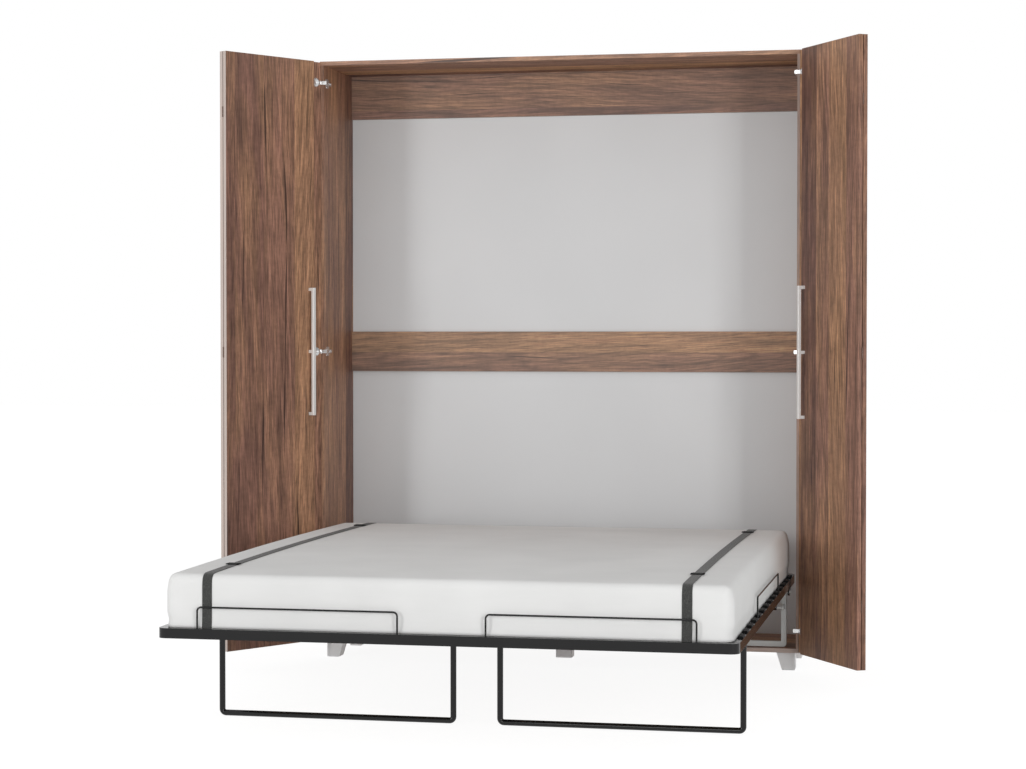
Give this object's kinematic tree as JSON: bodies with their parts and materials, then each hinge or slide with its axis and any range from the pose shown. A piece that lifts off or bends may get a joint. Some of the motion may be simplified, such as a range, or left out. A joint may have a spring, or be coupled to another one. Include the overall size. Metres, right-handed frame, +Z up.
{
  "type": "wall bed",
  "caption": "Double wall bed: a tall cabinet with folding doors on both sides, and a steel tube bed frame with slats, strapped mattress and folding legs that swings up into it on lift struts.",
  "frame": {"origin": "bottom centre of the whole object's box with the bed down and the doors open, on the floor", "axes": "+X to the right as seen from the foot of the bed, +Y towards the wall, +Z up"},
  "size_m": [2.4382, 2.334, 2.406],
  "materials": {
    "laminate": "brown wood-grain laminate with paler edge bands",
    "back_board": "pale painted board",
    "slat_wood": "clear varnished beech",
    "black_paint": "gloss black powder coat",
    "grey_paint": "grey powder coat",
    "chrome": "bright nickel plate",
    "brown_paint": "brown lacquer",
    "steel": "satin brushed",
    "black_plastic": "fine grain",
    "grey_plastic": "fine grain",
    "mattress_knit": "white knitted ticking",
    "webbing": "dark grey woven webbing"
  },
  "bodies": {
    "cabinet": {"base_panel": "laminate", "top_panel": "laminate", "right_side_panel": "laminate", "left_side_panel": "laminate", "back_panel": "back_board", "top_cross_rail": "laminate", "middle_cross_rail": "laminate", "corner_feet": "grey_plastic", "centre_foot": "grey_plastic", "wall_brackets": "steel", "bracket_screws": "steel", "right_hinge_arms": "chrome", "left_hinge_arms": "chrome", "door_hinge_pins": "steel", "stand_tube": "grey_paint", "stand_bosses": "grey_paint", "stand_clips": "grey_paint", "pivot_pins": "steel", "pivot_washers": "steel", "strut_anchors": "grey_paint"},
    "bed": {"front_rail": "black_paint", "head_rail": "black_paint", "right_side_rail": "black_paint", "left_side_rail": "black_paint", "centre_beam": "black_paint", "cross_tubes": "black_paint", "pivot_plates": "black_paint", "leg_brackets": "black_paint", "leg_pins": "steel", "strut_lugs": "black_paint", "slats": "slat_wood", "side_slat_holders": "black_plastic", "centre_slat_holders": "black_plastic", "front_hoops": "black_paint", "head_hoops": "black_paint", "side_hoops": "black_paint", "mattress": "mattress_knit", "straps": "webbing", "strap_sliders": "black_plastic"},
    "right_leg": {"right_folding_leg": "black_paint"},
    "right_strut_cylinder": {"right_strut_cylinder": "black_paint"},
    "right_strut_rod": {"right_strut_rod": "chrome"},
    "right_outer_door": {"right_outer_door_leaf": "laminate", "right_hinge_cups": "chrome", "right_outer_fold_hinges": "brown_paint", "right_fold_hinge_pins": "steel"},
    "right_inner_door": {"right_inner_door_leaf": "laminate", "right_inner_fold_hinges": "brown_paint", "right_door_handle": "steel"},
    "left_leg": {"left_folding_leg": "black_paint"},
    "left_strut_cylinder": {"left_strut_cylinder": "black_paint"},
    "left_strut_rod": {"left_strut_rod": "chrome"},
    "left_outer_door": {"left_outer_door_leaf": "laminate", "left_hinge_cups": "chrome", "left_outer_fold_hinges": "brown_paint", "left_fold_hinge_pins": "steel"},
    "left_inner_door": {"left_inner_door_leaf": "laminate", "left_inner_fold_hinges": "brown_paint", "left_door_handle": "steel"}
  },
  "joints": [
    {"name": "bed_fold", "type": "hinge", "parent": "cabinet", "child": "bed", "pos_m": [0, 0.803, 0.3], "axis": [-1, 0, 0], "range_deg": [0, 90]},
    {"name": "right_leg_fold", "type": "hinge", "parent": "bed", "child": "right_leg", "pos_m": [0.8795, -0.652, 0.312], "axis": [1, 0, 0], "range_deg": [0, 90]},
    {"name": "right_strut_swing", "type": "hinge", "parent": "cabinet", "child": "right_strut_cylinder", "pos_m": [0.8515, 0.76, 0.24], "axis": [-1, 0, 0], "range_deg": [0, 79.32]},
    {"name": "right_strut_stroke", "type": "slide", "parent": "right_strut_cylinder", "child": "right_strut_rod", "axis": [0, -0.9335, 0.3586], "range_m": [0, 0.09509]},
    {"name": "right_door_swing", "type": "hinge", "parent": "cabinet", "child": "right_outer_door", "pos_m": [0.9485, 0.737, 1.218], "axis": [0, 0, 1], "range_deg": [-26, 20]},
    {"name": "right_leaf_fold", "type": "hinge", "parent": "right_outer_door", "child": "right_inner_door", "pos_m": [1.20467, 0.30845, 1.218], "axis": [0, 0, 1], "range_deg": [0, 4]},
    {"name": "left_leg_fold", "type": "hinge", "parent": "bed", "child": "left_leg", "pos_m": [-0.8795, -0.652, 0.312], "axis": [1, 0, 0], "range_deg": [0, 90]},
    {"name": "left_strut_swing", "type": "hinge", "parent": "cabinet", "child": "left_strut_cylinder", "pos_m": [-0.8515, 0.76, 0.24], "axis": [-1, 0, 0], "range_deg": [0, 79.32]},
    {"name": "left_strut_stroke", "type": "slide", "parent": "left_strut_cylinder", "child": "left_strut_rod", "axis": [0, -0.9335, 0.3586], "range_m": [0, 0.09509]},
    {"name": "left_door_swing", "type": "hinge", "parent": "cabinet", "child": "left_outer_door", "pos_m": [-0.9485, 0.737, 1.218], "axis": [0, 0, -1], "range_deg": [-26, 20]},
    {"name": "left_leaf_fold", "type": "hinge", "parent": "left_outer_door", "child": "left_inner_door", "pos_m": [-1.20467, 0.30845, 1.218], "axis": [0, 0, -1], "range_deg": [0, 4]}
  ],
  "couplings": [
    {"joint": "right_leg_fold", "follows": "bed_fold", "ratio": 1},
    {"joint": "right_strut_swing", "follows": "bed_fold", "ratio": 0.88119},
    {"joint": "right_strut_stroke", "follows": "bed_fold", "m_per_rad": 0.060475},
    {"joint": "left_leg_fold", "follows": "bed_fold", "ratio": 1},
    {"joint": "left_strut_swing", "follows": "bed_fold", "ratio": 0.88119},
    {"joint": "left_strut_stroke", "follows": "bed_fold", "m_per_rad": 0.060475}
  ]
}
